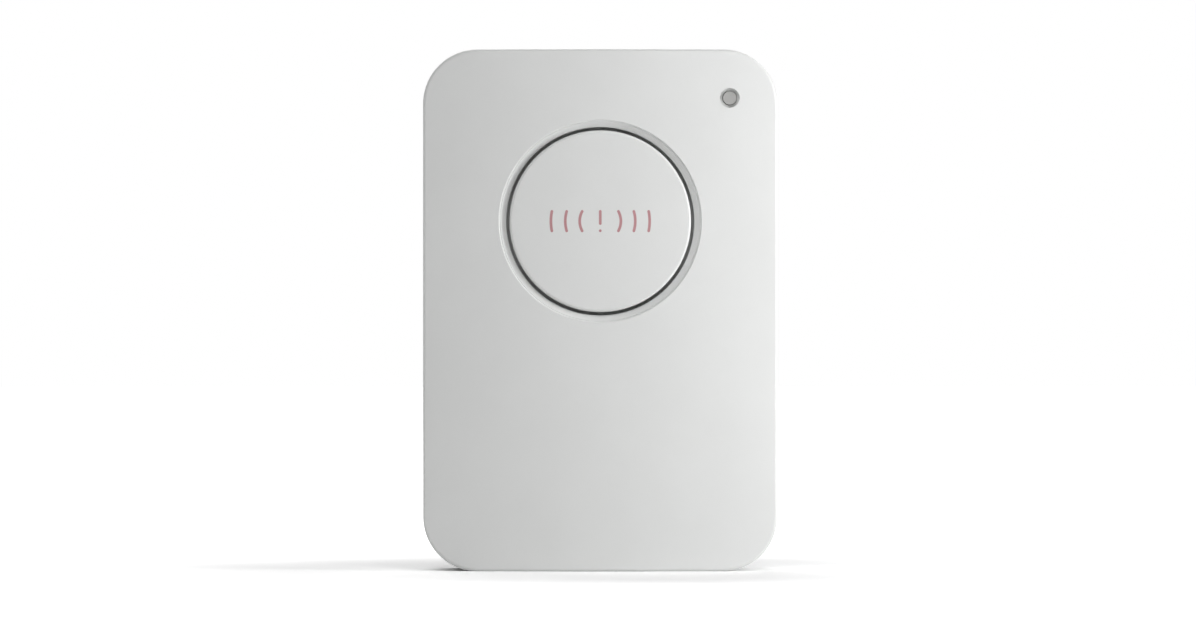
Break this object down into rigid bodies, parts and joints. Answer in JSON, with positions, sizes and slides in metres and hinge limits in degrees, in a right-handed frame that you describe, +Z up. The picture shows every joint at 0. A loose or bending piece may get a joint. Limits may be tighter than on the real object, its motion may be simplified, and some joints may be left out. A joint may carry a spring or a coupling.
{
  "type": "wireless panic button",
  "caption": "Slim white upright alarm button: crowned face with a round push cap in a bevelled ring, indicator at top right, flat back with keyholes and a coin-slot battery door.",
  "frame": {"origin": "middle of the bottom edge that the housing stands on, halfway through its depth", "axes": "+Z up, +Y towards the flat back, +X to the right when the button is faced"},
  "size_m": [0.0518, 0.019, 0.0762],
  "materials": {
    "white_shell": "fine satin moulded ABS",
    "white_cap": "fine satin moulded ABS",
    "clear_plastic": "frosted light pipe",
    "board": "green solder mask",
    "black_plastic": "moulded",
    "steel": "plated",
    "lamp": "moulded lamp",
    "component": "fired ceramic",
    "copper": "bare wire",
    "seal": "matt rubber"
  },
  "bodies": {
    "housing": {"front_cover": "white_shell", "rear_cover": "white_shell", "light_pipe": "clear_plastic", "circuit_board": "board", "return_spring": "steel", "switch_base": "black_plastic", "switch_frame": "steel", "switch_dome": "steel", "switch_terminals": "steel", "status_led": "lamp", "radio_chip": "black_plastic", "crystal": "steel", "antenna_wire": "copper", "reservoir_capacitor": "component", "chip_capacitors": "component", "chip_resistors": "black_plastic", "coin_cell": "steel", "positive_contact": "steel", "negative_contact": "steel", "board_screws": "steel"},
    "push_cap": {"panic_button": "white_cap"},
    "plunger": {"switch_plunger": "black_plastic"},
    "door": {"battery_door": "white_shell", "door_seal": "seal"}
  },
  "joints": [
    {"name": "button_press", "type": "slide", "parent": "housing", "child": "push_cap", "axis": [0, 1, 0], "range_m": [0, 0.0008], "stiffness_N_per_m": 400, "springref_m": -0.001, "deforming": ["return_spring"]},
    {"name": "switch_press", "type": "slide", "parent": "housing", "child": "plunger", "axis": [0, 1, 0], "range_m": [0, 0.00025], "deforming": ["switch_dome"]},
    {"name": "battery_door_turn", "type": "hinge", "parent": "housing", "child": "door", "pos_m": [0, 0.0095, 0.0375], "axis": [0, 1, 0], "range_deg": [0, 45]}
  ],
  "couplings": [
    {"joint": "switch_press", "follows": "button_press", "ratio": 0.3125}
  ]
}
